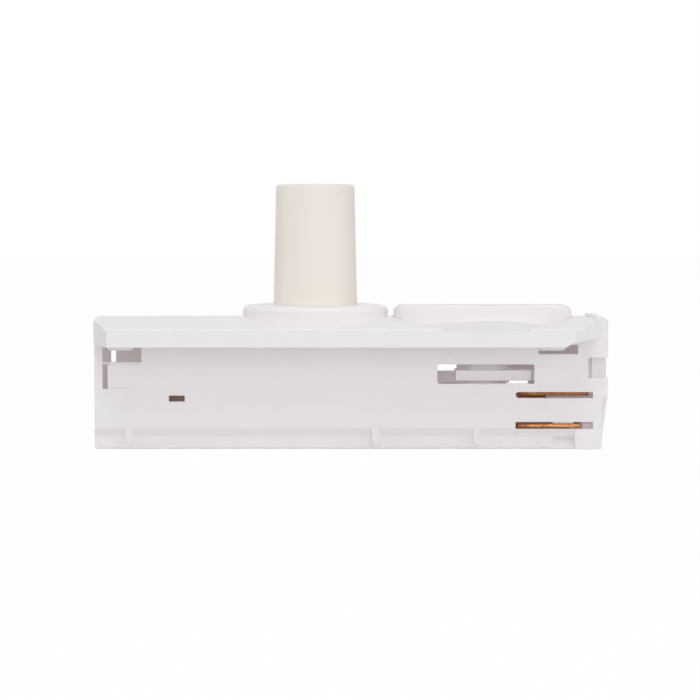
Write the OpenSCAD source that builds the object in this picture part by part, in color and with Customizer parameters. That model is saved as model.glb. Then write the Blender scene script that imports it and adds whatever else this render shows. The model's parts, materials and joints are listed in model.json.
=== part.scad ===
// Track light adapter: a trough that goes into a lighting track, its crowned cover with
// the lamp spigot, and a knob whose half turn locks it and pushes two contacts out.
// All sizes are in mm; +Z is up, +X points to the contact end, the bottom lies at z = 0.

/* [Body] */
// Length of the body along the track
body_l = 100; // [98:1:112]
// Thickness of the body that goes into the track
body_t = 17.5; // [17.2:0.1:19]
// Height of the lip's lower edge, which rests on the track
seat_h = 20.3; // [20.2:0.1:22]
// Thickness of the side and end walls
wall = 1.5; // [1.3:0.1:1.6]
// Thickness of the floor
floor_t = 1.6; // [1.3:0.1:1.7]
// Height of the narrow strip along the bottom
strip_h = 2.2; // [2:0.1:2.4]
// How far the strip stands back from the side face
strip_inset = 1; // [0.6:0.1:1.1]
// Height of the soft slope from the strip out to the side face
slope_h = 2.3; // [1.8:0.1:2.4]
// How far the contact end leans in at the bottom
end_taper = 1.3; // [0.4:0.1:1.4]
// Height at which the contact end starts to lean in
end_taper_h = 10; // [8:0.5:11]
// Radius of the body's upright edges
body_edge_r = 0.5; // [0.3:0.1:1]
// Length of the end block beside the cover
block_l = 2.5; // [2.4:0.1:3]

/* [Cover] */
// Width of the cover across the lip
cover_w = 35.4; // [34.6:0.2:37]
// Height of the lip
lip_h = 3.2; // [3:0.1:4]
// Thickness of the lip's wall
lip_wall = 1.5; // [1.2:0.1:2]
// Thickness of the plate below the knob
plate_t = 1.8; // [1.6:0.1:2]
// Width of the ledge beside the crowned panel
panel_inset = 1.7; // [1.2:0.1:2]
// Height of the panel's edge above the ledge
panel_edge_h = 0.4; // [0.3:0.1:0.6]
// Height of the panel's ridge above the ledge
crown_h = 2.2; // [1.8:0.1:2.4]
// Length of the tapered corners at the plain end
taper_l = 3.3; // [2:0.1:5]
// Width of the plain end
end_w = 18.8; // [18:0.2:24]
// Length of the tapered corners at the contact end
nose_l = 4.4; // [3:0.1:5]
// Width of the cover's contact end
nose_w = 26.4; // [22:0.2:28]
// Diameter of the round flange
flange_d = 28.6; // [26:0.2:29]
// Height of the flange above the ledge
flange_h = 4.45; // [3.5:0.05:6]
// Radius of the flange's upper edge
flange_edge_r = 1.2; // [0.6:0.1:1.6]

/* [Spigot] */
// Diameter of the spigot at its foot
spigot_d = 16.5; // [15.6:0.1:18]
// How much narrower the spigot is at its top
spigot_draft = 1; // [0:0.1:1.2]
// Height of the spigot above the flange
spigot_h = 23.75; // [20.5:0.05:35]
// Diameter of the socket for the lamp's stem
stem_d = 10.1; // [8:0.1:11]
// Depth of the socket
stem_depth = 20; // [12:0.5:20]
// Diameter of the threaded shank
shank_d = 10; // [9:0.1:10.4]
// Diameter of the way for the wires
wire_d = 6.8; // [5:0.1:7]
// Width of the nut across its flats
nut_w = 14; // [13.6:0.1:14]

/* [Knob] */
// Distance from the knob's axis to the contact end
knob_end = 24.1; // [24:0.1:24.6]
// Height of the knob's dome
dome_h = 1.3; // [1:0.05:1.6]
// Width of the grip bar
bar_w = 10; // [8:0.2:12]
// Height of the grip bar above the disc's lower face
bar_h = 4.55; // [3.5:0.05:6]
// Radius of the grip bar's end corners
bar_end_r = 1.6; // [0.8:0.1:2]
// Diameter of the knob's shaft
shaft_d = 10; // [9.6:0.1:10.2]

/* [Lock] */
// Reach of the wings from the axis
wing_r = 11.4; // [10.6:0.1:11.6]
// Thickness of the wings
wing_t = 2; // [1.6:0.1:2.2]
// Depth of the front wing's underside below the lip
wing_drop = 7; // [6.8:0.1:7.1]
// Travel of the contacts
travel = 3; // [2.4:0.1:3.2]

/* [Contacts] */
// Height of the lower contact slot
low_slot_z = 4; // [3.9:0.1:4.2]
// Depth of the upper contact slot below the lip
high_slot_drop = 10.3; // [10.2:0.1:10.4]
// Length of the contact slots
slot_l = 15.1; // [13.8:0.1:15.2]
// Thickness of the contact blades
blade_t = 0.8; // [0.6:0.05:0.8]

/* [Hidden] */

// Fineness of round shapes, and of the large shallow curves
$fn = 72;
fn_shallow = 360;
// Clearances: fixed pieces, turning fit, moving pieces, and how far a cutter runs past a face
fix_gap = 0.1;
fit = 0.05;
run_gap = 0.3;
over = 1;

// Main planes of the body and the cover
half_l = body_l / 2;
half_t = body_t / 2;
half_w = cover_w / 2;
inner_t = half_t - wall;
strip_t = half_t - strip_inset;
inner_strip = strip_t - wall;
inner_x = half_l - wall;
face_z = strip_h + slope_h;
slope_lag = 0.5;
slope_steps = 8;
ledge_z = seat_h + lip_h;
body_top = ledge_z - plate_t;
ridge_z = ledge_z + crown_h;
panel_w = half_w - panel_inset;
crown_sag = crown_h - panel_edge_h;
crown_r = (panel_w * panel_w + crown_sag * crown_sag) / (2 * crown_sag);
block_x = half_l - block_l;
nose_x = block_x - fix_gap;
flange_z = ledge_z + flange_h;
spigot_top = flange_z + spigot_h;

// Small radii and reliefs of the mouldings
foot_r = 0.6;
bottom_r = 0.4;
block_r = 0.9;
cover_end_r = 0.35;
panel_r = 0.35;
spigot_r = 0.6;
mouth_chamfer = 0.5;
nub_l = 2;
nub_over = 1;
nub_h = 0.5;
nub_y = 1.6;
nub_x = [block_x - nub_over, block_x - nub_over + nub_l];
step_in = 1.1;
chin_l = 6.3;
chin_run = 1.4;
chin_h = 0.9;
chin_end_h = 1.5;

// Half-round ribs on the strip: places from the plain end and from the contact end, and size
bead_left = 6.8;
bead_mid = 45.2;
bead_right = 25.4;
bead_x = [-half_l + bead_left, half_l - bead_mid, half_l - bead_right];
bead_r = 0.75;
bead_low = 0.9;
bead_back = 0.04;
bead_z = bead_low + bead_r;

// Snap hooks of the cover and the cut-outs that take them
hook_cut_z = seat_h + fix_gap;
hook_low = 1.1;
hook_t = 1;
leg_gap = 0.15;
nose_back = 0.15;
hook_chamfer = 0.5;
left_cut_in = 1.6;
left_cut_l = 7.6;
left_cut_h = 3.4;
rear_cut_low = 1.2;
left_hook_in = 1.1;
left_hook_l = 5.1;
left_cut = [-half_l + left_cut_in, -half_l + left_cut_in + left_cut_l];
left_hook = [left_cut[0] + left_hook_in, left_cut[0] + left_hook_in + left_hook_l];
right_cut_in = 13.5;
right_cut_l = 7.7;
right_cut_h = 1.8;
right_hook_l = 5.2;
right_cut = [half_l - right_cut_in, half_l - right_cut_in + right_cut_l];
right_hook = [right_cut[0] + fix_gap, right_cut[0] + fix_gap + right_hook_l];
rear_hook = [right_cut[0] + fix_gap, right_cut[1] - fix_gap];
rear_low = right_cut_h - fix_gap;

// Ribs below the cover, placed from the plain end and from the contact end
rib_first = 14;
rib_second = 26;
rib_third = 44;
rib_last = 10;
rib_x = [-half_l + rib_first, -half_l + rib_second, half_l - rib_third, half_l - rib_last];
rib_t = 1;
rib_up = 0.5;

// Latch marks at the plain end; drops are measured down from the lip's lower edge
slit_w = 1;
slit_drop = 3.6;
slit_h = 4.9;
slit_x = [left_cut[0], left_cut[0] + slit_w];
slit_z = [seat_h - slit_drop - slit_h, seat_h - slit_drop];
tongue_l = 6.4;
tongue_drop = 3.9;
tongue_h = 4.5;
tongue_x = [slit_x[1], slit_x[1] + tongue_l];
tongue_z = [seat_h - tongue_drop - tongue_h, seat_h - tongue_drop];
line_drop = 3.4;
line_h = 0.4;
tongue_line = [seat_h - line_drop - line_h, seat_h - line_drop];
tongue_deep = 0.15;
tongue_tilt = 2.5;
web_in = 3.5;
web_l = 6;
web_x = [-half_l + web_in, -half_l + web_in + web_l];
web_y = 0.6;

// Notch in the contact end, the pocket in the strip below it, and the small slot
notch_in = 3.8;
notch_drop = 2.4;
notch_h = 4;
notch_x = half_l - notch_in;
notch_z = [seat_h - notch_drop - notch_h, seat_h - notch_drop];
notch_y = 3.2;
notch_strip = 1;
notch_deep = 1.4;
notch_wall = 1;
notch_r = 0.4;
notch_soft = 0.35;
pocket_in = 10.4;
pocket_l = 3.9;
pocket_x = [half_l - pocket_in, half_l - pocket_in + pocket_l];
pocket_spread = 0.35;
pocket_h = 2.3;
pocket_deep = 1;
full_gap = 0.1;
full_x = pocket_x[1] + full_gap;
peep_in = 14.5;
peep_l = 3.1;
peep_drop = 9.8;
peep_h = 1.2;
peep_x = [-half_l + peep_in, -half_l + peep_in + peep_l];
peep_z = [seat_h - peep_drop - peep_h, seat_h - peep_drop];

// Knob: its disc lies in a recess sunk into the ledge, its bar sweeps the wider round pocket above
knob_x = half_l - knob_end;
recess_wall = 0.25;
recess_r = half_w - recess_wall;
knob_r = recess_r - run_gap;
bar_half = recess_r;
bar_sweep_gap = 0.5;
round_pocket_r = bar_half + bar_sweep_gap;
pocket_sink = 0.2;
pocket_z = ledge_z - pocket_sink;
disc_z = pocket_z + fix_gap;
bar_low = ledge_z + fix_gap;
rim_t = 0.3;
dome_z = disc_z + rim_t + dome_h;
dome_r = (knob_r * knob_r + dome_h * dome_h) / (2 * dome_h);
bar_z = disc_z + bar_h;
bar_edge_r = 0.5;
bar_corner_r = 2;
shaft_r = shaft_d / 2;
bore_r = shaft_r + fit;
sleeve_l = 1.8;
sleeve_t = 1.7;
sleeve_z = body_top - sleeve_l;
clip_t = 0.5;
clip_gap = 0.15;
clip_z = sleeve_z - clip_gap - clip_t;
clip_deep = 0.7;
clip_w = 2.3;
clip_groove_r = shaft_r - clip_deep;
clip_r = clip_groove_r + clip_w;
clip_mouth = 6;
rotor_gap = 0.45;
rotor_top = clip_z - rotor_gap;
stub_w = 5;
stub_l = 3.3;
stub_z = rotor_top - stub_l;
stop_r = 12.5;
stop_pin_r = 1.2;
stop_slot_r = 1.5;
stop_end_r = 1.4;
stop_deep = 0.9;
stop_floor = 0.2;
stop_z = disc_z - stop_deep;
stop_angle = 45;
stop_over = 1.5;
knob_turn = 90;

// Spigot and its fixing
flange_gap = 0.7;
spigot_x = knob_x - round_pocket_r - flange_gap - flange_d / 2;
spigot_hole_r = shank_d / 2 + fit;
washer_r = nut_w / 2;
washer_t = 0.6;
nut_t = 2.5;
thread_fit = 0.03;
shank_over = 0.7;
shank_z = body_top - washer_t - nut_t - shank_over;

// Lock rotor: the rear wing lies a step lower than the front one
wing_z = seat_h - wing_drop;
wing_step = 0.8;
rear_wing_z = wing_z - wing_step;
wing_gap = 0.65;
wing_y = inner_t - wing_gap;
wing_corner = sqrt(wing_r * wing_r - wing_y * wing_y);
wing_cut_x = 5.4;
wing_cut_y = 0.3;
hub_r = 3.9;
detent_r = 5.4;
detent_flat = 4.9;

// Lock windows: the front one, and the rear one with a high part at one end and a low part at the other
window_gap = 0.15;
window_half = wing_corner + window_gap;
window_shift = 0.35;
window_low = 0.5;
window_high = 1.3;
window_r = 0.5;
window_x = [knob_x + window_shift - window_half, knob_x + window_shift + window_half];
window_z = [wing_z - window_low, wing_z + wing_t + window_high];
rear_window_z = [rear_wing_z - run_gap, rear_wing_z + wing_t + run_gap];
rear_high_l = 4.9;
rear_high_z = 1.2;
rear_low_l = 4.5;
rear_low_z = 0.9;

// Contact slots, blades and slides
slot_in = 6.15;
slot_x = [knob_x + slot_in, knob_x + slot_in + slot_l];
low_slot_h = 1.35;
high_slot_h = 1.2;
high_slot_z = seat_h - high_slot_drop;
blade_gap = 0.2;
blade_recess = 0.75;
low_z = low_slot_z + blade_gap;
high_z = high_slot_z + blade_gap;
blade_edge = half_t - blade_recess;
low_blade_end = 2.3;
low_blade_x = [slot_x[0] + blade_gap, slot_x[1] - low_blade_end];
low_blade_back = 0.5;
high_blade_end = 0.4;
high_blade_x = [slot_x[0] + high_blade_end, slot_x[1] - high_blade_end];
high_blade_front = 3.6;
lug_l = 5.5;
lug_h = 0.6;
lug_t = 0.6;
blade_r = 0.4;
slide_z = low_z + blade_t;
slide_share = 0.25;
slide_t = slide_share * (high_z - slide_z);
slide_top = slide_z + slide_t;
slide_back = 0.2;
slide_gap = 0.35;
slide_y = [slide_back, inner_t - travel - slide_gap];
arm_w = 1.9;
arm_y = [slide_y[1] - arm_w - run_gap, slide_y[1] - run_gap];
arm_over = 1;
arm_x = knob_x - arm_over;
slide_x = [knob_x + inner_t + run_gap, slot_x[1] - blade_gap];
tower_end = 0.9;
tower_x1 = slide_x[1] - tower_end;
nib_in = 7.2;
nib_l = 3.9;
nib_x = [low_blade_x[0] + nib_in, low_blade_x[0] + nib_in + nib_l];
nib_t = 0.25;
nib_back = 0.1;
stake_r = 0.9;
stake_in = 2;
stake_x = [slide_x[0] + stake_in, tower_x1 - stake_in];
stake_y = 2.1;

// Cam disc: pins of the slides run in two spiral grooves
disc_gap = 0.35;
disc_r = inner_t - disc_gap;
disc_rim = 0.55;
pin_r = 0.7;
pin_gap = 0.15;
groove_r = pin_r + pin_gap;
cam_z = slide_top + run_gap;
cam_t = 1.7;
cam_top = cam_z + cam_t;
groove_share = 0.4;
pin_share = 0.33;
groove_deep = groove_share * cam_t;
pin_top = cam_z + pin_share * cam_t;
pin_r1 = disc_r - disc_rim - groove_r;
pin_r0 = pin_r1 - travel;
groove_over = 0.03;
groove_steps = 24;
pivot_web = 0.25;
pivot_r = pin_r0 - groove_r - pivot_web;
pivot_up = 0.5;
pivot_z = floor_t + pivot_up;
boss_r = 3;
boss_up = 0.2;
boss_top = low_z + boss_up;
key_w = 4.4;
key_gap = 0.15;
key_z = cam_z + groove_deep + key_gap;

// Bearer and guide for the slides at the contact end
bearer_x = low_blade_x[1] + run_gap;
bearer_z = slide_z - fix_gap;
guide_x = tower_x1 + run_gap;
guide_gap = 0.2;
guide_t = 1;
guide_z = [slide_top + guide_gap, slide_top + guide_gap + guide_t];

// Detent spring, between the window and the rotor's top
spring_t = 0.3;
spring_gap = 0.25;
spring_up = 0.4;
spring_x = knob_x - detent_r - spring_gap - spring_t;
spring_z = [window_z[1] + spring_up, rotor_top - run_gap];
spring_y = inner_t - spring_gap;
post_t = 0.75;
post_l = 1.25;
post_x = [spring_x - post_t, spring_x + spring_t + post_t];
post_y = inner_t - post_l;
post_z = [spring_z[0] - fix_gap, spring_z[1] + fix_gap];

// Terminals and their seat
term_in = 13.2;
term_l = 8.4;
term_x = [-half_l + term_in, -half_l + term_in + term_l];
term_y = [1, 5.2];
term_drop = 4;
term_z = high_slot_z - term_drop;
carrier_head = 1.2;
carrier_tail = 1;
carrier_x = [term_x[0] - carrier_head, term_x[1] + carrier_tail];
barrier_y = 0.6;
barrier_drop = 6.8;
barrier_z = seat_h - barrier_drop;
carrier_end = 0.8;
wire_hole_r = 1.4;
wire_hole_up = 1.9;
wire_hole_z = term_z + wire_hole_up;
wire_hole_l = 5.5;
screw_in = 3.4;
screw_x = term_x[0] + screw_in;
screw_r = 1.4;
screw_head_r = 1.9;
screw_head_h = 1.5;
screw_tip_up = 3;
screw_tip = term_z + screw_tip_up;
screw_slot = 0.8;
screw_slot_deep = 0.7;

// Copper strips from the terminals to the blades, which pass close to them
strip_gap = 0.15;
low_strip_t = 0.6;
low_strip_top = low_z - strip_gap;
strip_end = 2;
low_strip_x1 = low_blade_x[1] - strip_end;
tab_head = 0.2;
tab_tail = 0.4;
tab_x = [term_x[0] - tab_head, term_x[1] - tab_tail];
high_strip_z = high_z + blade_t + strip_gap;
high_strip_t = 0.7;
high_strip_w = 2.4;
high_strip_y = [inner_t - slide_gap - high_strip_w, inner_t - slide_gap];
high_strip_x1 = high_blade_x[1] - strip_end;
term_h = high_strip_z - term_z;
tab_top = term_z + term_h;
ear_x = term_x[1] - tab_tail;
hold_lap = 0.4;
hold_l = 1.2;
hold_x = [high_strip_x1 - hold_lap, high_strip_x1 - hold_lap + hold_l];
hold_z = [high_strip_z - fit, rear_wing_z - run_gap];

// Cross walls of the body
lock_wall = 3.4;
wire_wall = 27;
bulk_x = [knob_x - wing_r - lock_wall, -half_l + wire_wall];
bulk_t = 1.2;
bulk_top = wing_z - run_gap;
bulk_gap_y = 3;
bulk_gap_h = 6;
bulk_gap_z = bulk_top - bulk_gap_h;

body_shell();
cover_plate();
spigot();
spigot_washer();
spigot_nut();
knob();
knob_clip();
lock_rotor();
cam_disc();
front_slide();
front_blade();
rear_slide();
rear_blade();
detent_spring();
terminal_carrier();
neutral_terminal();
live_terminal();
terminal_screws();
neutral_strip();
live_strip();

// Block between two values on each axis
module block(x, y, z) {
    translate([x[0], y[0], z[0]])
        cube([x[1] - x[0], y[1] - y[0], z[1] - z[0]]);
}

// Upright round bar between two heights
module rod(x, y, z, r) {
    translate([x, y, z[0]])
        cylinder(r = r, h = z[1] - z[0]);
}

// Carries a profile drawn as (y, z) along x
module along_x(x) {
    translate([x[0], 0, 0])
        rotate([90, 0, 90])
            linear_extrude(height = x[1] - x[0])
                children();
}

// Carries a profile drawn as (x, z) along y
module along_y(y) {
    translate([0, y[1], 0])
        rotate([90, 0, 0])
            linear_extrude(height = y[1] - y[0])
                children();
}

// Carries an outline drawn as (x, y) upward
module upward(z) {
    translate([0, 0, z[0]])
        linear_extrude(height = z[1] - z[0])
            children();
}

// Repeats a shape on the other side of the centre plane
module both_sides() {
    children();
    mirror([0, 1, 0])
        children();
}

// What rounding takes from a corner; at turn 0 the solid lies toward +x and +y
module round_off(p, turn, r) {
    translate(p)
        rotate(turn)
            difference() {
                translate([-over, -over])
                    square(r + over);
                translate([r, r])
                    circle(r = r);
            }
}

// Rectangle with four rounded corners
module soft_square(x, y, r) {
    difference() {
        translate([x[0], y[0]])
            square([x[1] - x[0], y[1] - y[0]]);
        round_off([x[0], y[0]], 0, r);
        round_off([x[1], y[0]], 90, r);
        round_off([x[1], y[1]], 180, r);
        round_off([x[0], y[1]], 270, r);
    }
}

// Cross-section of the body: narrow strip, S-shaped slope, side faces and the crown of the end block
function slope_at(t) = [strip_t + strip_inset * (1 - cos(180 * t)) / 2, strip_h + slope_h * t];
module body_section() {
    rise = [for (i = [0 : slope_steps]) slope_at(i / slope_steps)];
    fall = [for (i = [slope_steps : -1 : 0]) [-rise[i][0], rise[i][1]]];
    intersection() {
        difference() {
            polygon(concat([[-strip_t, 0], [strip_t, 0]], rise, [[half_t, ridge_z + over], [-half_t, ridge_z + over]], fall));
            round_off([-strip_t, 0], 0, bottom_r);
            round_off([strip_t, 0], 90, bottom_r);
        }
        translate([0, ridge_z - crown_r])
            circle(r = crown_r, $fn = fn_shallow);
    }
}

// Side view of the body: rounded foot, leaning contact end and the end block
module body_outline() {
    difference() {
        polygon([[-half_l, 0], [half_l - end_taper, 0], [half_l, end_taper_h], [half_l, ridge_z],
            [block_x, ridge_z], [block_x, body_top], [-half_l, body_top]]);
        round_off([-half_l, 0], 0, foot_r);
        round_off([half_l, ridge_z], 180, block_r);
    }
}

// The body before it is hollowed; its contact end has no strip
module body_solid() {
    difference() {
        intersection() {
            union() {
                along_x([-half_l - over, half_l + over])
                    body_section();
                block([full_x, half_l + over], [-half_t, half_t], [0, face_z]);
            }
            along_y([-half_t - over, half_t + over])
                body_outline();
        }
        upward([-over, ridge_z + over]) {
            round_off([-half_l, -half_t], 0, body_edge_r);
            round_off([half_l, -half_t], 90, body_edge_r);
            round_off([half_l, half_t], 180, body_edge_r);
            round_off([-half_l, half_t], 270, body_edge_r);
        }
    }
}

// Cross-section of the body's inside
module inside_section(top) {
    polygon([[-inner_strip, floor_t], [inner_strip, floor_t], [inner_strip, strip_h + slope_lag],
        [inner_t, face_z + slope_lag], [inner_t, top], [-inner_t, top],
        [-inner_t, face_z + slope_lag], [-inner_strip, strip_h + slope_lag]]);
}

// The inside of the body, less the ribs that stand in it
module inside() {
    difference() {
        union() {
            along_x([-inner_x, nose_x])
                inside_section(body_top + over);
            along_x([nose_x - over, inner_x])
                inside_section(body_top - wall);
        }
        rod(knob_x, 0, [0, boss_top], boss_r);
        block([bearer_x, half_l], [-half_t, half_t], [0, bearer_z]);
        block([guide_x, half_l], [-half_t, half_t], guide_z);
        both_sides()
            block(post_x, [post_y, half_t], post_z);
        block([notch_x - notch_wall, half_l], [-half_t, -half_t + notch_y + notch_deep + notch_wall],
            [notch_z[0] - notch_wall, notch_z[1] + notch_wall]);
        block(web_x, [-web_y, web_y], [0, hook_cut_z]);
        block(hold_x, [high_strip_y[0] - hold_lap, half_t], hold_z);
        for (x = bulk_x)
            difference() {
                block([x, x + bulk_t], [-half_t, half_t], [0, bulk_top]);
                block([x - over, x + bulk_t + over], [-bulk_gap_y, bulk_gap_y], [bulk_gap_z, bulk_top + over]);
            }
    }
}

// Outline of the front lock window, with one rounded corner
module window_outline() {
    difference() {
        translate([window_x[0], window_z[0]])
            square([window_x[1] - window_x[0], window_z[1] - window_z[0]]);
        round_off([window_x[0], window_z[0]], 0, window_r);
    }
}

// Outline of the upper contact slot: round at one end
module high_slot_outline() {
    r = high_slot_h / 2;
    translate([slot_x[0] + r, high_slot_z])
        square([slot_x[1] - slot_x[0] - r, high_slot_h]);
    translate([slot_x[0] + r, high_slot_z + r])
        circle(r = r);
}

// Openings in the side walls
module wall_openings() {
    front = [-half_t - over, -inner_t + over];
    rear = [inner_t - over, half_t + over];
    along_y(front)
        window_outline();
    block(window_x, rear, rear_window_z);
    block([window_x[0], window_x[0] + rear_high_l], rear, [rear_window_z[0], rear_window_z[1] + rear_high_z]);
    block([window_x[1] - rear_low_l, window_x[1]], rear, [rear_window_z[0] - rear_low_z, rear_window_z[1]]);
    for (side = [front, rear]) {
        along_y(side)
            high_slot_outline();
        block(slot_x, side, [low_slot_z, low_slot_z + low_slot_h]);
        block(right_cut, side, [hook_cut_z - right_cut_h, hook_cut_z]);
    }
    block(left_cut, front, [hook_cut_z - left_cut_h, hook_cut_z]);
    block(left_cut, rear, [hook_cut_z - left_cut_h - rear_cut_low, hook_cut_z]);
    block(slit_x, front, slit_z);
    block(peep_x, front, peep_z);
}

// Outline of the end notch up to x, with two rounded corners
module notch_outline(x) {
    difference() {
        translate([notch_x, notch_z[0]])
            square([x - notch_x, notch_h]);
        round_off([notch_x, notch_z[0]], 0, notch_r);
        round_off([notch_x, notch_z[1]], 270, notch_r);
    }
}

// Marks that do not go through: latch tongue, end notch, end step and the pocket in the strip
module surface_cuts() {
    block(tongue_x, [-half_t - over, -half_t + tongue_deep], tongue_line);
    intersection() {
        block(tongue_x, [-half_t - over, -inner_t], tongue_z);
        translate([tongue_x[0], -half_t, tongue_z[1]])
            rotate([0, atan2(tongue_z[1] - tongue_z[0], tongue_x[1] - tongue_x[0]), 0])
                rotate([tongue_tilt, 0, 0])
                    translate([-over, -2 * wall, -body_t])
                        cube([body_t, 2 * wall, body_t]);
    }
    along_y([-half_t - over, -half_t + notch_y])
        notch_outline(half_l + over);
    along_y([-half_t - over, -half_t + notch_y + notch_deep])
        notch_outline(notch_x + notch_strip);
    along_x([notch_x + notch_r, half_l + over])
        translate([-half_t, notch_z[0]])
            rotate(45)
                square(notch_soft * sqrt(2), center = true);
    block([half_l - step_in, half_l + over], [-half_t - over, -half_t + step_in], [-over, end_taper_h]);
    intersection() {
        along_y([-half_t - over, -inner_strip])
            polygon([[pocket_x[0] - pocket_spread, -over], [pocket_x[1] + pocket_spread, -over],
                [pocket_x[1], pocket_h], [pocket_x[0], pocket_h]]);
        along_x([-half_l, half_l])
            polygon([[-half_t - over, -over], [-strip_t, -over], [-strip_t, 0], [-strip_t + pocket_deep, pocket_h],
                [-half_t - over, pocket_h]]);
    }
}

// Flat ribs on the strip, round at the foot
module beads() {
    for (x = bead_x)
        both_sides()
            along_y([-half_t + bead_back, -inner_strip - over / 2]) {
                translate([x - bead_r, bead_z])
                    square([2 * bead_r, face_z - bead_z]);
                translate([x, bead_z])
                    circle(r = bead_r);
            }
}

// White trough that goes into the track
module body_shell() {
    color("white")
        difference() {
            union() {
                difference() {
                    body_solid();
                    inside();
                    wall_openings();
                    surface_cuts();
                }
                beads();
                block(nub_x, [-nub_y, nub_y], [ridge_z + fix_gap, ridge_z + nub_h]);
                block([block_x + fix_gap, nub_x[1]], [-nub_y, nub_y], [ridge_z - nub_h, ridge_z + nub_h]);
            }
            rod(knob_x, 0, [pivot_z - fix_gap, boss_top + over], pivot_r + fit);
            both_sides()
                block([spring_x - fit, spring_x + spring_t + fit], [0, spring_y + fit], [post_z[0] + fit, post_z[1] + over]);
            block([term_x[0], high_strip_x1 + fix_gap], [high_strip_y[0] - fix_gap, high_strip_y[1] + fix_gap],
                [high_strip_z - fit, high_strip_z + high_strip_t + fix_gap]);
            block([term_x[1], low_strip_x1 + fix_gap], [-term_y[1] - low_strip_t - fix_gap, -term_y[1] + fix_gap],
                [floor_t, low_strip_top + fix_gap]);
        }
}

// Plan of the cover, drawn in from its edge by d at the ends and tapers; wide runs past the lip
function taper_x(d, l, w) = d * norm([l, w]) / w;
function plan_end(d, l, w, y) = (y - half_w + w) * l / w + taper_x(d, l, w);
module cover_plan(d, wide) {
    wl = half_w - end_w / 2;
    wr = half_w - nose_w / 2;
    yl = half_w - wl + (d - taper_x(d, taper_l, wl)) * wl / taper_l;
    yr = half_w - wr + (d - taper_x(d, nose_l, wr)) * wr / nose_l;
    half = [[-half_l + d, yl], [-half_l + plan_end(d, taper_l, wl, wide), wide],
        [nose_x - plan_end(d, nose_l, wr, wide), wide], [nose_x - d, yr]];
    polygon(concat(half, [for (i = [3 : -1 : 0]) [half[i][0], -half[i][1]]]));
}

// Cross-section of the cover: lip, ledge and crowned panel with a soft edge
module cover_section() {
    translate([-half_w, seat_h])
        square([cover_w, lip_h]);
    intersection() {
        difference() {
            translate([-panel_w, ledge_z - over])
                square([2 * panel_w, crown_h + 2 * over]);
            round_off([panel_w, ledge_z + panel_edge_h], 180, panel_r);
            round_off([-panel_w, ledge_z + panel_edge_h], 270, panel_r);
        }
        translate([0, ridge_z - crown_r])
            circle(r = crown_r, $fn = fn_shallow);
    }
}

// One snap hook: leg inside the wall and a nose in the cut-out
module hook(x, low) {
    z0 = hook_cut_z - low;
    block(x, [-inner_t + leg_gap, -inner_t + leg_gap + hook_t], [z0, body_top + over / 2]);
    along_y([-half_t + nose_back, -inner_t + leg_gap + hook_t / 2])
        difference() {
            translate([x[0], z0])
                square([x[1] - x[0], low - fix_gap]);
            translate([x[1], z0])
                rotate(45)
                    square(hook_chamfer * sqrt(2), center = true);
        }
}

// Groove in which the knob's stop pin runs
module stop_groove() {
    span = knob_turn + 2 * stop_over;
    deep = stop_deep + stop_floor;
    translate([knob_x, 0, stop_z - stop_floor])
        rotate(-stop_angle - stop_over) {
            rotate_extrude(angle = span)
                translate([stop_r - stop_slot_r, 0])
                    square([2 * stop_slot_r, deep]);
            for (a = [0, span])
                rotate(a)
                    translate([stop_r, 0, 0])
                        cylinder(r = stop_end_r, h = deep);
        }
}

// Crowned cover with lip, flange, hooks and the round pocket of the knob
module cover_plate() {
    color("white")
        union() {
            difference() {
                union() {
                    intersection() {
                        along_x([-half_l - over, half_l])
                            cover_section();
                        upward([0, ridge_z + over])
                            cover_plan(0, half_w + over);
                    }
                    translate([spigot_x, 0, 0])
                        rotate_extrude()
                            difference() {
                                translate([0, ledge_z - over])
                                    square([flange_d / 2, flange_h + over]);
                                round_off([flange_d / 2, flange_z], 180, flange_edge_r);
                            }
                }
                difference() {
                    upward([seat_h - over, body_top])
                        cover_plan(lip_wall, half_w - lip_wall);
                    for (x = rib_x)
                        block([x, x + rib_t], [-half_w, half_w], [seat_h + rib_up, body_top + over]);
                }
                block([-half_l - over, half_l], [-half_t - fix_gap, half_t + fix_gap], [seat_h - over, body_top]);
                both_sides()
                    along_y([-half_w - over, -half_t])
                        polygon([[nose_x - chin_l, seat_h - over], [nose_x - chin_l, seat_h],
                            [nose_x - chin_l + chin_run, seat_h + chin_h], [nose_x + over, seat_h + chin_end_h],
                            [nose_x + over, seat_h - over]]);
                along_y([-half_w, half_w])
                    round_off([-half_l, ridge_z], 270, cover_end_r);
                rod(knob_x, 0, [ledge_z, ridge_z + over], round_pocket_r);
                rod(knob_x, 0, [pocket_z, ridge_z + over], recess_r);
                rod(knob_x, 0, [body_top - over, ledge_z + over], bore_r);
                rod(spigot_x, 0, [body_top - over, flange_z + over], spigot_hole_r);
                stop_groove();
            }
            difference() {
                rod(knob_x, 0, [sleeve_z, body_top + over / 2], bore_r + sleeve_t);
                rod(knob_x, 0, [sleeve_z - over, body_top + over], bore_r);
            }
            both_sides()
                hook(left_hook, hook_low);
            hook(right_hook, hook_low);
            mirror([0, 1, 0])
                hook(rear_hook, rear_low);
        }
}

// Ivory tube that carries the lamp, with its shank and the socket for the lamp's stem
module spigot() {
    top_r = spigot_d / 2 - spigot_draft / 2;
    bore = stem_d / 2;
    color("ivory")
        translate([spigot_x, 0, 0])
            rotate_extrude()
                difference() {
                    polygon([[wire_d / 2, shank_z], [shank_d / 2, shank_z], [shank_d / 2, flange_z],
                        [spigot_d / 2, flange_z], [top_r, spigot_top], [bore + mouth_chamfer, spigot_top],
                        [bore, spigot_top - mouth_chamfer], [bore, spigot_top - stem_depth],
                        [wire_d / 2, spigot_top - stem_depth]]);
                    round_off([top_r, spigot_top], 180, spigot_r);
                }
}

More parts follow.
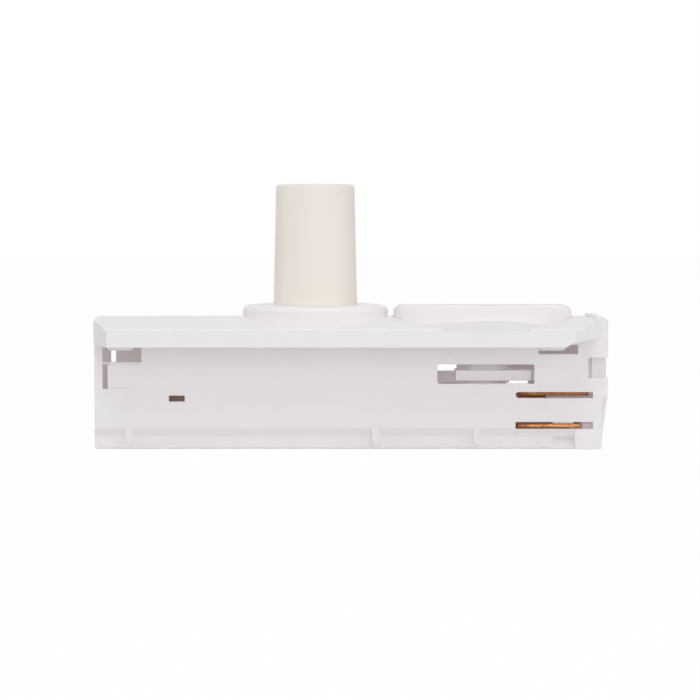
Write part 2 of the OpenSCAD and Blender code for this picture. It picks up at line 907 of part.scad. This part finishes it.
// Flat washer below the cover
module spigot_washer() {
    color("silver")
        difference() {
            rod(spigot_x, 0, [body_top - washer_t, body_top], washer_r);
            rod(spigot_x, 0, [body_top - washer_t - over, body_top + over], spigot_hole_r);
        }
}

// Hexagon nut on the shank
module spigot_nut() {
    color("silver")
        difference() {
            translate([spigot_x, 0, 0])
                upward([body_top - washer_t - nut_t, body_top - washer_t])
                    intersection_for (turn = [0, 60, 120])
                        rotate(turn)
                            square([2 * nut_w, nut_w], center = true);
            rod(spigot_x, 0, [shank_z - over, body_top], shank_d / 2 + thread_fit);
        }
}

// Turning knob: domed disc, grip bar, shaft, square stub and stop pin
module knob() {
    color("white")
        translate([knob_x, 0, 0])
            difference() {
                union() {
                    rotate_extrude()
                        intersection() {
                            translate([0, disc_z])
                                square([knob_r, bar_h]);
                            translate([0, dome_z - dome_r])
                                circle(r = dome_r, $fn = fn_shallow);
                        }
                    intersection() {
                        upward([bar_low, bar_z + over])
                            soft_square([-bar_half, bar_half], [-bar_w / 2, bar_w / 2], bar_corner_r);
                        along_x([-half_w, half_w])
                            soft_square([-bar_w / 2, bar_w / 2], [disc_z - over, bar_z], bar_edge_r);
                        along_y([-bar_w, bar_w])
                            soft_square([-bar_half, bar_half], [disc_z - bar_h, bar_z], bar_end_r);
                    }
                    rod(0, 0, [clip_z - fit, disc_z + over / 2], shaft_r);
                    block([-stub_w / 2, stub_w / 2], [-stub_w / 2, stub_w / 2], [stub_z, clip_z]);
                    rotate(stop_angle)
                        rod(stop_r, 0, [stop_z, disc_z + rim_t / 2], stop_pin_r);
                }
                difference() {
                    rod(0, 0, [clip_z - fit, clip_z + clip_t + fit], shaft_r + over);
                    rod(0, 0, [clip_z - over, clip_z + clip_t + over], clip_groove_r);
                }
            }
}

// Open spring clip below the cover's sleeve
module knob_clip() {
    color("silver")
        difference() {
            rod(knob_x, 0, [clip_z, clip_z + clip_t], clip_r);
            rod(knob_x, 0, [clip_z - over, clip_z + clip_t + over], clip_groove_r + fit);
            block([knob_x, knob_x + clip_r + over], [-clip_mouth / 2, clip_mouth / 2], [clip_z - over, clip_z + clip_t + over]);
        }
}

// Outline of the front wing: a piece of a disc's slice
module wing_outline() {
    intersection() {
        circle(r = wing_r);
        translate([-wing_cut_x, -wing_y])
            square([wing_cut_x + wing_r, wing_y + wing_cut_y]);
    }
}

// Rotor that locks the adapter in the track
module lock_rotor() {
    color("white")
        translate([knob_x, 0, 0])
            difference() {
                union() {
                    upward([wing_z, wing_z + wing_t])
                        wing_outline();
                    rotate(180)
                        upward([rear_wing_z, rear_wing_z + wing_t])
                            wing_outline();
                    rod(0, 0, [cam_top, wing_z + wing_t / 2], hub_r);
                    upward([wing_z + wing_t / 2, rotor_top])
                        intersection() {
                            circle(r = detent_r);
                            square(2 * detent_flat, center = true);
                        }
                    block([-key_w / 2, key_w / 2], [-key_w / 2, key_w / 2], [key_z, cam_top + over]);
                }
                upward([stub_z - fix_gap, rotor_top + over])
                    square(stub_w + 2 * fit, center = true);
            }
}

// Spiral groove: the pin's distance grows evenly with the turn
function groove_at(t) = pin_r0 + travel * t;
function groove_side(t, s) =
    let (r = groove_at(t), lean = travel * 180 / (knob_turn * PI * r))
    (r + s * groove_r * sqrt(1 + lean * lean)) * [cos(knob_turn * (t - 1)), sin(knob_turn * (t - 1))];
module groove_outline() {
    t0 = -groove_over;
    t1 = 1 + groove_over;
    steps = [for (i = [0 : groove_steps]) t0 + (t1 - t0) * i / groove_steps];
    back = [for (i = [groove_steps : -1 : 0]) t0 + (t1 - t0) * i / groove_steps];
    polygon(concat([for (t = steps) groove_side(t, 1)], [for (t = back) groove_side(t, -1)]));
    for (t = [t0, t1])
        translate(groove_side(t, 0))
            circle(r = groove_r);
}

// Disc with two spiral grooves that push the slides out, and the pivot in the floor
module cam_disc() {
    color("gainsboro")
        translate([knob_x, 0, 0])
            difference() {
                union() {
                    rod(0, 0, [cam_z, cam_top], disc_r);
                    rod(0, 0, [pivot_z, cam_z + over], pivot_r);
                }
                for (turn = [0, 180])
                    rotate(turn)
                        upward([cam_z - over, cam_z + groove_deep])
                            groove_outline();
                upward([key_z - fix_gap, cam_top + over])
                    square(key_w + 2 * fit, center = true);
            }
}

// Slide body shared by both carriers: arm, pin, plate and tongue, drawn for the rear side
module slide_base() {
    block([slide_x[0] - over, slide_x[1]], slide_y, [slide_z, slide_top]);
    block([arm_x, slide_x[0]], arm_y, [slide_z, slide_top]);
    rod(knob_x, pin_r0, [slide_top - over / 2, pin_top], pin_r);
}

// Carrier of the lower blade
module front_slide() {
    color("white")
        union() {
            mirror([0, 1, 0])
                slide_base();
            block(nib_x, [-blade_edge + nib_back, -slide_y[0] - over], [slide_z, slide_z + nib_t]);
            for (x = stake_x)
                rod(x, -stake_y, [low_z, slide_z + over / 2], stake_r);
        }
}

// Copper blade in the lower slot
module front_blade() {
    color("peru")
        difference() {
            upward([low_z, low_z + blade_t])
                soft_square(low_blade_x, [-blade_edge, -low_blade_back], blade_r);
            for (x = stake_x)
                rod(x, -stake_y, [low_z - over, slide_z + over], stake_r + fit);
        }
}

// Carrier of the upper blade
module rear_slide() {
    color("white")
        union() {
            slide_base();
            block([slide_x[0], tower_x1], slide_y, [slide_z, high_z]);
            for (x = stake_x)
                rod(x, stake_y, [high_z - over, high_z + blade_t], stake_r);
        }
}

// Upper blade, with a lug bent down at its front
module rear_blade() {
    lug_x = high_blade_x[0] + blade_r;
    color("peru")
        union() {
            difference() {
                upward([high_z, high_z + blade_t])
                    soft_square(high_blade_x, [-high_blade_front, blade_edge], blade_r);
                for (x = stake_x)
                    rod(x, stake_y, [high_z - over, high_z + blade_t + over], stake_r + fit);
            }
            block([lug_x, lug_x + lug_l], [-high_blade_front, lug_t - high_blade_front],
                [high_z - lug_h, high_z + blade_t / 2]);
        }
}

// Leaf that bears on the square part of the rotor
module detent_spring() {
    color("silver")
        block([spring_x, spring_x + spring_t], [-spring_y, spring_y], spring_z);
}

// Insulating seat of the terminals with the barrier between them
module terminal_carrier() {
    color("gainsboro")
        union() {
            block(carrier_x, [-term_y[1] + fix_gap, term_y[1] - fix_gap], [floor_t, term_z]);
            block(carrier_x, [-barrier_y, barrier_y], [term_z - over, barrier_z]);
            block([carrier_x[0], carrier_x[0] + carrier_end], [-term_y[1] + fix_gap, term_y[1] - fix_gap],
                [term_z - over, high_slot_z]);
        }
}

// Brass pillar with a hole for the wire and one for the screw, drawn for the rear side
module pillar() {
    y = (term_y[0] + term_y[1]) / 2;
    difference() {
        block(term_x, term_y, [term_z, term_z + term_h]);
        translate([term_x[1] - wire_hole_l, y, wire_hole_z])
            rotate([0, 90, 0])
                cylinder(r = wire_hole_r, h = wire_hole_l + over);
        rod(screw_x, y, [wire_hole_z, term_z + term_h + over], screw_r + thread_fit);
    }
}

// Pillar of the neutral wire
module neutral_terminal() {
    color("gold")
        mirror([0, 1, 0])
            pillar();
}

// Pillar of the live wire
module live_terminal() {
    color("gold")
        pillar();
}

// Clamp screws of the two pillars
module terminal_screws() {
    y = (term_y[0] + term_y[1]) / 2;
    color("silver")
        for (side = [-1, 1]) {
            seat = term_z + term_h + (side > 0 ? high_strip_t : 0);
            difference() {
                union() {
                    rod(screw_x, side * y, [screw_tip, seat + over / 2], screw_r);
                    rod(screw_x, side * y, [seat, seat + screw_head_h], screw_head_r);
                }
                block([screw_x - screw_head_r - over, screw_x + screw_head_r + over],
                    [side * y - screw_slot / 2, side * y + screw_slot / 2],
                    [seat + screw_head_h - screw_slot_deep, seat + screw_head_h + over]);
            }
        }
}

// Copper strip on edge, from the neutral pillar to below the lower blade
module neutral_strip() {
    color("peru")
        along_y([-term_y[1] - low_strip_t, -term_y[1]])
            polygon([[tab_x[0], floor_t], [low_strip_x1, floor_t], [low_strip_x1, low_strip_top],
                [tab_x[1], low_strip_top], [tab_x[1], tab_top], [tab_x[0], tab_top]]);
}

// Flat copper strip from the live pillar to above the upper blade
module live_strip() {
    y = (term_y[0] + term_y[1]) / 2;
    color("peru")
        difference() {
            union() {
                block([term_x[0], high_strip_x1], high_strip_y, [high_strip_z, high_strip_z + high_strip_t]);
                block([term_x[0], ear_x], [term_y[0], high_strip_y[1]], [high_strip_z, high_strip_z + high_strip_t]);
            }
            rod(screw_x, y, [high_strip_z - over, high_strip_z + over], screw_r + thread_fit);
        }
}
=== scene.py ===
# %% [markdown]
# # A track light adapter, dressed for its photograph
#
# The solids come packed from CAD and stay as they are: a white trough, its crowned cover, an
# ivory spigot, a turning knob and the copper contacts. This script adds the camera, the light,
# the finish of each material and the small traces that making them leaves. It adds no shapes.

import json
import math

import bpy
import numpy as np
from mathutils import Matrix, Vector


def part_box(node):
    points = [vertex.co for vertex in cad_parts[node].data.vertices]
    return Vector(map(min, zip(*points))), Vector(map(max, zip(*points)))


MM = 0.001
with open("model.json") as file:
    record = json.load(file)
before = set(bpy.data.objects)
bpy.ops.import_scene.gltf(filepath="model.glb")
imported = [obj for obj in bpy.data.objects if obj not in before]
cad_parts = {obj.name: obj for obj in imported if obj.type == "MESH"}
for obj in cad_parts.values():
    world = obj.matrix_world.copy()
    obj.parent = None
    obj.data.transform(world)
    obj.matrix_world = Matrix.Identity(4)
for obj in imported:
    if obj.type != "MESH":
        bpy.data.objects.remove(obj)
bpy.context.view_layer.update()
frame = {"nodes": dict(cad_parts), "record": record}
nodes = frame["nodes"]
scene = bpy.context.scene
scene.view_settings.view_transform = "Standard"


# %% [markdown]
# ## The camera
#
# The photograph looks straight at the long side from a little above: upright edges stay
# upright and the top is seen at a very flat angle. Such a view could be made with any lens,
# but the small change of scale from the lip to the body gives the distance, about half a
# metre, and the frame then gives a long lens.

# %% Place the camera
SENSOR = 36.0
FRAME_PX = 700
FOCAL_PX = 2400
CAMERA_AT = (-0.2 * MM, -475.0 * MM, 43.6 * MM)
PITCH_DEG = 2.97

eye = bpy.data.cameras.new("long_lens")
eye.sensor_width = SENSOR
eye.lens = SENSOR * FOCAL_PX / FRAME_PX
eye.clip_start = 0.01
camera = bpy.data.objects.new("camera", eye)
camera.location = CAMERA_AT
camera.rotation_euler = (math.radians(90 - PITCH_DEG), 0, 0)
scene.collection.objects.link(camera)
scene.camera = camera
print("lens mm:", round(eye.lens, 1))

# %% [markdown]
# ## Helpers for colour and shader nodes
#
# Colours are written as the hex values a painter would pick on a screen; shaders count in
# linear light, so one function converts them. A second function adds any shader node, sets
# its values and links its inputs, which keeps the recipes below short.


# %% Helpers
def linear(code):
    """Hex colour to linear RGBA: each channel c becomes ((c + 0.055) / 1.055) ** 2.4,
    or c / 12.92 when dark."""
    c = np.array([int(code[i : i + 2], 16) for i in (1, 3, 5)]) / 255
    rgb = np.where(c <= 0.04045, c / 12.92, ((c + 0.055) / 1.055) ** 2.4)
    return (*map(float, rgb), 1.0)


def add(tree, kind, inputs=None, **settings):
    """Adds one node; settings are its own fields, inputs are values or sockets to link from."""
    node = tree.nodes.new("ShaderNode" + kind)
    for name, value in settings.items():
        setattr(node, name, value)
    for name, value in (inputs or {}).items():
        if isinstance(value, bpy.types.NodeSocket):
            tree.links.new(value, node.inputs[name])
        else:
            node.inputs[name].default_value = value
    return node


def new_material(name):
    """An empty material and its node tree."""
    material = bpy.data.materials.new(name)
    material.use_nodes = True
    material.node_tree.nodes.clear()
    return material, material.node_tree


def per_mm(size):
    """Scale of a noise whose features are about this many millimetres across."""
    return 1 / (size * MM)


print("white is", [round(c, 3) for c in linear("#F2F0EE")])

# %% [markdown]
# ## Backdrop
#
# The picture has a pure white ground. A bare white world would light every side alike, so the
# world stays dim for all rays that light the adapter, and is white only where the camera or a
# reflection looks at it.

# %% World
WORLD_LIGHT = 0.36
WORLD_TINT = linear("#FCFBFD")
WHITE = (1, 1, 1, 1)

world = bpy.data.worlds.new("studio")
world.use_nodes = True
scene.world = world
sky = world.node_tree
sky.nodes.clear()
rays = add(sky, "LightPath").outputs
seen = add(sky, "Math", {0: rays["Is Camera Ray"], 1: rays["Is Glossy Ray"]}, operation="MAXIMUM")
seen = add(
    sky, "Math", {0: seen.outputs[0], 1: rays["Is Transmission Ray"]}, operation="MAXIMUM"
)
dim = add(sky, "Background", {"Color": WORLD_TINT, "Strength": WORLD_LIGHT})
bright = add(sky, "Background", {"Color": WHITE, "Strength": 1.0})
both = add(sky, "MixShader", {0: seen.outputs[0], 1: dim.outputs[0], 2: bright.outputs[0]})
add(sky, "OutputWorld", {"Surface": both.outputs[0]})
print("world light:", WORLD_LIGHT)

# %% [markdown]
# ## Lamps
#
# Five soft square lamps stand round the adapter. The wide one in front makes the upright faces
# the brightest. The one above leans to the front, so the crowned cover darkens towards its
# ridge. Two fills light the ends, and a weak one behind keeps the rear side readable. A single
# lamp could light the front as well, but would leave the tapered corners too dark.

# %% Lamps: place, width in metres, power in watts
AIM = Vector((0.0, 0.0, 0.02))
LAMPS = {
    "front_softbox": ((0.0, -1.20, 0.12), 1.3, 5.85),
    "top_softbox": ((0.0, -0.45, 1.15), 0.8, 5.5),
    "left_fill": ((-1.20, -0.25, 0.25), 0.9, 3.4),
    "right_fill": ((1.00, -0.60, 0.30), 0.8, 3.1),
    "back_fill": ((0.0, 1.20, 0.25), 1.2, 1.8),
}
for lamp_name, (place, width, watts) in LAMPS.items():
    lamp = bpy.data.lights.new(lamp_name, "AREA")
    lamp.shape = "SQUARE"
    lamp.size = width
    lamp.energy = watts
    stand = bpy.data.objects.new(lamp_name, lamp)
    stand.location = place
    way = stand.location - AIM
    stand.rotation_euler = way.to_track_quat("Z", "Y").to_euler()
    scene.collection.objects.link(stand)
print("lamps:", list(LAMPS))

# %% [markdown]
# ## Floor
#
# The adapter stands on white paper. The paper reflects light up under the lip like any matt
# white sheet, and what the camera sees of it is mostly plain white, with a trace of shadow.

# %% Paper sweep
FLOOR_GREY = linear("#EDEDEE")
FLOOR_SHOWN = 0.975
REACH = 3.0

floor_mesh = bpy.data.meshes.new("floor")
corners = [(-REACH, -REACH, 0), (REACH, -REACH, 0), (REACH, REACH, 0), (-REACH, REACH, 0)]
floor_mesh.from_pydata(corners, [], [(0, 1, 2, 3)])
floor = bpy.data.objects.new("floor", floor_mesh)
scene.collection.objects.link(floor)
paper, tree = new_material("white_paper_sweep")
rays = add(tree, "LightPath").outputs
share = add(tree, "Math", {0: rays["Is Camera Ray"], 1: FLOOR_SHOWN}, operation="MULTIPLY")
matt = add(tree, "BsdfDiffuse", {"Color": FLOOR_GREY})
shine = add(tree, "Emission", {"Color": WHITE, "Strength": 1.0})
mixed = add(tree, "MixShader", {0: share.outputs[0], 1: matt.outputs[0], 2: shine.outputs[0]})
add(tree, "OutputMaterial", {"Surface": mixed.outputs[0]})
floor_mesh.materials.append(paper)
print("floor metres:", 2 * REACH)

# %% [markdown]
# ## Moulded plastics
#
# The trough, cover and knob are injection moulded in white polycarbonate from a finely eroded
# steel mould, so the surface is satin, with a grain finer than a millimetre and slow clouds
# where the plastic shrank. Mould edges are never sharp: a bevel in the shading normal gives
# every edge the thin bright line that a tenth of a millimetre of radius makes. The real grain is
# about a twentieth of a millimetre, too fine for the picture, so it is drawn at half a millimetre.
#
# Light wanders through such thin white walls, so the openings look mauve grey and not black.
# Subsurface scattering could do this but is slow and noisy in a closed trough. Here painted light
# stands in for it: the plastic emits a weak pinkish light, which grows with how much of the
# surroundings a point can't see, so hidden corners and openings are lit by painted light.

# %% Values shared by the plastics
CLOUD_MM = 14
GLOSS_SPREAD = 0.05
# painted light: the strongest emission the plastic gives off in hidden places
PAINTED_GLOW = 0.097
PAINTED_GLOW_POWER = 5.0
PAINTED_GLOW_REACH_MM = 40
PAINTED_GLOW_COLOUR = linear("#FFEEF0")
POLYMER_IOR = 1.585
POLYMER_SPECULAR = 0.35
print("glow at most:", PAINTED_GLOW)


# %% Dark specks in a moulding
SPECK_CORE = 0.05
SPECK_RIM = 0.10
RARE_SPREAD = 2.3


def specked(tree, where, base, size_mm, share, dark):
    """Small dots round the points of a cell pattern, kept only where a slow noise is above
    share; they are grains of charred plastic."""
    dots = add(tree, "TexVoronoi", {"Vector": where, "Scale": per_mm(size_mm), "Randomness": 1.0})
    rare = add(tree, "TexNoise", {
        "Vector": where, "Scale": per_mm(size_mm * RARE_SPREAD), "Detail": 0.0,
    })
    near = add(tree, "MapRange", {
        "Value": dots.outputs["Distance"],
        "From Min": SPECK_CORE, "From Max": SPECK_RIM, "To Min": 1.0, "To Max": 0.0,
    })
    few = add(tree, "Math", {0: rare.outputs["Fac"], 1: share}, operation="GREATER_THAN")
    spot = add(
        tree, "Math", {0: near.outputs["Result"], 1: few.outputs[0]}, operation="MULTIPLY"
    )
    mix = {"Factor": spot.outputs[0], "A": base, "B": linear(dark)}
    return add(tree, "Mix", mix, data_type="RGBA").outputs["Result"]


print("a speck reaches", SPECK_RIM, "of a cell")


# %% The plastic recipe
def moulded_plastic(name, colour, shade, rough, grain_mm, depth_mm, edge_mm, specks=None):
    """Plastic from a mould: two close colours in slow clouds, fine grain in bump and gloss,
    softened edges, and painted light: an emission of PAINTED_GLOW times the hidden share to the
    power PAINTED_GLOW_POWER."""
    material, tree = new_material(name)
    where = add(tree, "TexCoord").outputs["Object"]
    clouds = add(tree, "TexNoise", {
        "Vector": where, "Scale": per_mm(CLOUD_MM), "Detail": 2.0, "Roughness": 0.5,
    })
    mix = {"Factor": clouds.outputs["Fac"], "A": linear(colour), "B": linear(shade)}
    base = add(tree, "Mix", mix, data_type="RGBA").outputs["Result"]
    if specks:
        base = specked(tree, where, base, *specks)
    grain = add(tree, "TexNoise", {
        "Vector": where, "Scale": per_mm(grain_mm), "Detail": 3.0, "Roughness": 0.55,
    })
    gloss = add(tree, "MapRange", {
        "Value": grain.outputs["Fac"],
        "To Min": rough - GLOSS_SPREAD, "To Max": rough + GLOSS_SPREAD,
    })
    soft_edge = add(tree, "Bevel", {"Radius": edge_mm * MM}, samples=6)
    relief = add(tree, "Bump", {
        "Height": grain.outputs["Fac"], "Distance": depth_mm * MM, "Strength": 0.6,
        "Normal": soft_edge.outputs[0],
    })
    # painted light: the plastic emits a pinkish light that grows with how hidden a point is
    sight = add(tree, "AmbientOcclusion", {"Distance": PAINTED_GLOW_REACH_MM * MM}, samples=6)
    hidden = add(tree, "Math", {0: 1.0, 1: sight.outputs["AO"]}, operation="SUBTRACT")
    painted_glow = add(tree, "Math", {0: hidden.outputs[0], 1: PAINTED_GLOW_POWER}, operation="POWER")
    painted_glow = add(tree, "Math", {0: painted_glow.outputs[0], 1: PAINTED_GLOW}, operation="MULTIPLY")
    skin = add(tree, "BsdfPrincipled", {
        "Base Color": base, "Roughness": gloss.outputs["Result"], "Normal": relief.outputs[0],
        "IOR": POLYMER_IOR, "Specular IOR Level": POLYMER_SPECULAR,
        "Emission Color": PAINTED_GLOW_COLOUR, "Emission Strength": painted_glow.outputs[0],
    })
    add(tree, "OutputMaterial", {"Surface": skin.outputs[0]})
    return material


# Satin and neutral white, from an eroded mould.
white_polycarbonate = moulded_plastic(
    "white_polycarbonate", "#EFECEC", "#EBE8E8", 0.58, 0.5, 0.010, 0.14
)
# Warmer and a little glossier, with a few charred grains.
ivory_polyamide = moulded_plastic(
    "ivory_polyamide", "#EEE8DF", "#EAE3D9", 0.44, 0.4, 0.010, 0.20, (3.2, 0.60, "#C4B8A6")
)
# Slippery inner parts: plain white, with brownish grains of wear.
white_acetal = moulded_plastic(
    "white_acetal", "#F0EDEE", "#EAE7E8", 0.50, 0.4, 0.012, 0.12, (1.6, 0.56, "#C8BAA8")
)
print("plastics:", white_polycarbonate.name, ivory_polyamide.name, white_acetal.name)

# %% [markdown]
# ## Worked metals
#
# Strips, terminals, screws and nuts show the grain of their making: rolling or turning leaves
# fine scratches in one direction. They could be modelled as grooves, but are far too fine, so a
# noise stretched along one axis mixes two tones and drives gloss and bump. It is drawn at about
# a quarter of a millimetre, several times coarser than the real marks, so that it shows.


# %% The metal recipe
STAIN_MM = 3.0
STAIN_LOW = 0.15
STAIN_HIGH = 0.40
SCRATCH_DEPTH_MM = 0.02


def worked_metal(name, colour, dark, rough, scratch_mm, stretch, edge_mm):
    """Metal: scratch noise stretched along one axis, times a slow stain, mixes two colours;
    the scratches also drive gloss and bump."""
    material, tree = new_material(name)
    where = add(tree, "TexCoord").outputs["Object"]
    lie = add(tree, "Mapping", {"Vector": where, "Scale": stretch})
    scratch = add(tree, "TexNoise", {
        "Vector": lie.outputs[0], "Scale": per_mm(scratch_mm), "Detail": 3.0, "Roughness": 0.6,
    })
    stain = add(tree, "TexNoise", {"Vector": where, "Scale": per_mm(STAIN_MM), "Detail": 3.0})
    blend = add(
        tree, "Math", {0: scratch.outputs["Fac"], 1: stain.outputs["Fac"]}, operation="MULTIPLY"
    )
    share = add(tree, "MapRange", {
        "Value": blend.outputs[0], "From Min": STAIN_LOW, "From Max": STAIN_HIGH,
    })
    mix = {"Factor": share.outputs["Result"], "A": linear(dark), "B": linear(colour)}
    tint = add(tree, "Mix", mix, data_type="RGBA")
    gloss = add(tree, "MapRange", {
        "Value": scratch.outputs["Fac"], "To Min": rough - 0.08, "To Max": rough + 0.12,
    })
    soft_edge = add(tree, "Bevel", {"Radius": edge_mm * MM}, samples=4)
    relief = add(tree, "Bump", {
        "Height": scratch.outputs["Fac"], "Distance": SCRATCH_DEPTH_MM * MM, "Strength": 0.7,
        "Normal": soft_edge.outputs[0],
    })
    skin = add(tree, "BsdfPrincipled", {
        "Base Color": tint.outputs["Result"], "Roughness": gloss.outputs["Result"],
        "Normal": relief.outputs[0], "Metallic": 1.0,
    })
    add(tree, "OutputMaterial", {"Surface": skin.outputs[0]})
    return material


# Dull grey brown, from years in air.
oxidised_copper = worked_metal(
    "oxidised_copper", "#9A8274", "#74604F", 0.45, 0.30, (1.0, 1.0, 0.25), 0.05
)
# Yellow with bright turning marks.
turned_brass = worked_metal(
    "turned_brass", "#D8BC7A", "#A98A4E", 0.30, 0.25, (0.2, 1.0, 1.0), 0.10
)
# Cool grey with a soft sheen.
zinc_steel = worked_metal(
    "zinc_plated_steel", "#C9CBCC", "#9A9C9E", 0.34, 0.20, (1.0, 1.0, 0.3), 0.06
)
print("metals:", oxidised_copper.name, turned_brass.name, zinc_steel.name)

# %% [markdown]
# ## Sheared contact blades
#
# The blades are stamped from copper sheet, and their cut edges look out of the slots. Such an
# edge is brown near both faces and golden and ragged in the middle, where the metal tore. The
# tear could be cut into the mesh, but it is a tenth of a millimetre deep, so the height above
# the blade's middle, roughened by noise, chooses the colour.

# %% The blade recipe
BLADE_HALF = 0.4 * MM
DULL_LENGTH = 3.0 * MM
DULL = 0.9
# painted shade: the near-black brown given to the copper below the blade's band
PAINTED_SHADE_BROWN = "#62412F"
TEAR_MM = 0.30
TEAR_STRETCH = (0.7, 1.0, 1.0)
TEAR_WEIGHT = 2.0
TEAR_DEPTH_MM = 0.03
BROWNING_MM = 4.0
GOLD_FULL = 1.55
GOLD_NONE = 2.35
PAINTED_SHADE_FROM = 1.0
PAINTED_SHADE_FULL = 1.5


def sheared_edge(name, gold, brown, box):
    """Stamped blade: gold where the height from the blade's middle, over its half thickness
    and roughened by noise, stays small, brown towards both faces and the first end, and
    near-black brown beyond the faces, painted shade on the copper below the band."""
    start, middle = box[0][0], box[1][2] - BLADE_HALF
    material, tree = new_material(name)
    where = add(tree, "TexCoord").outputs["Object"]
    lie = add(tree, "Mapping", {"Vector": where, "Scale": TEAR_STRETCH})
    tear = add(tree, "TexNoise", {
        "Vector": lie.outputs[0], "Scale": per_mm(TEAR_MM), "Detail": 2.0, "Roughness": 0.6,
    })
    stain = add(tree, "TexNoise", {"Vector": where, "Scale": per_mm(BROWNING_MM), "Detail": 2.0})
    place = add(tree, "SeparateXYZ", {0: where}).outputs
    off = add(tree, "Math", {0: place["Z"], 1: middle}, operation="SUBTRACT")
    off = add(tree, "Math", {0: off.outputs[0]}, operation="ABSOLUTE")
    off = add(tree, "Math", {0: off.outputs[0], 1: BLADE_HALF}, operation="DIVIDE")
    # painted shade: share of near-black brown, rising beyond the blade's faces
    painted_shade = add(tree, "MapRange", {
        "Value": off.outputs[0], "From Min": PAINTED_SHADE_FROM, "From Max": PAINTED_SHADE_FULL,
    })
    dull = add(tree, "MapRange", {
        "Value": place["X"], "From Min": start, "From Max": start + DULL_LENGTH,
        "To Min": DULL, "To Max": 0.0,
    })
    rag = add(
        tree, "Math", {0: tear.outputs["Fac"], 1: TEAR_WEIGHT, 2: stain.outputs["Fac"]},
        operation="MULTIPLY_ADD",
    )
    off = add(tree, "Math", {0: off.outputs[0], 1: rag.outputs[0]}, operation="ADD")
    off = add(tree, "Math", {0: off.outputs[0], 1: dull.outputs["Result"]}, operation="ADD")
    share = add(tree, "MapRange", {
        "Value": off.outputs[0],
        "From Min": GOLD_FULL, "From Max": GOLD_NONE, "To Min": 1.0, "To Max": 0.0,
    })
    mix = {"Factor": share.outputs["Result"], "A": linear(brown), "B": linear(gold)}
    tint = add(tree, "Mix", mix, data_type="RGBA")
    mix = {"Factor": painted_shade.outputs["Result"], "A": tint.outputs["Result"], "B": linear(PAINTED_SHADE_BROWN)}
    tint = add(tree, "Mix", mix, data_type="RGBA")
    gloss = add(tree, "MapRange", {
        "Value": tear.outputs["Fac"], "To Min": 0.30, "To Max": 0.55,
    })
    relief = add(tree, "Bump", {
        "Height": tear.outputs["Fac"], "Distance": TEAR_DEPTH_MM * MM, "Strength": 0.8,
    })
    skin = add(tree, "BsdfPrincipled", {
        "Base Color": tint.outputs["Result"], "Roughness": gloss.outputs["Result"],
        "Normal": relief.outputs[0], "Metallic": 1.0,
    })
    add(tree, "OutputMaterial", {"Surface": skin.outputs[0]})
    return material


# The lower blade still shows fresh metal; the upper one has browned.
lower_blade = sheared_edge("sheared_copper_bright", "#D8A272", "#844F34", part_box("front_blade"))
upper_blade = sheared_edge("sheared_copper_brown", "#C8925F", "#84523A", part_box("rear_blade"))
print("blades:", lower_blade.name, upper_blade.name)

# %% [markdown]
# ## Dressing the solids
#
# The record names a material slot for each solid, so the finish follows the slot and no
# solid is left in its plain colour. Only the two blades have finishes of their own.

# %% Give each solid its finish
FINISHES = {
    "white_plastic": white_polycarbonate,
    "ivory_plastic": ivory_polyamide,
    "inner_plastic": white_acetal,
    "copper": oxidised_copper,
    "brass": turned_brass,
    "steel": zinc_steel,
}
OWN_FINISH = {"front_blade": lower_blade, "rear_blade": upper_blade}
slots = {part["node"]: part["material_slot"] for part in frame["record"]["subparts"]}
for node_name, solid in nodes.items():
    solid.data.materials.clear()
    solid.data.materials.append(OWN_FINISH.get(node_name, FINISHES[slots[node_name]]))
print("dressed:", {slot: sum(s == slot for s in slots.values()) for slot in FINISHES})
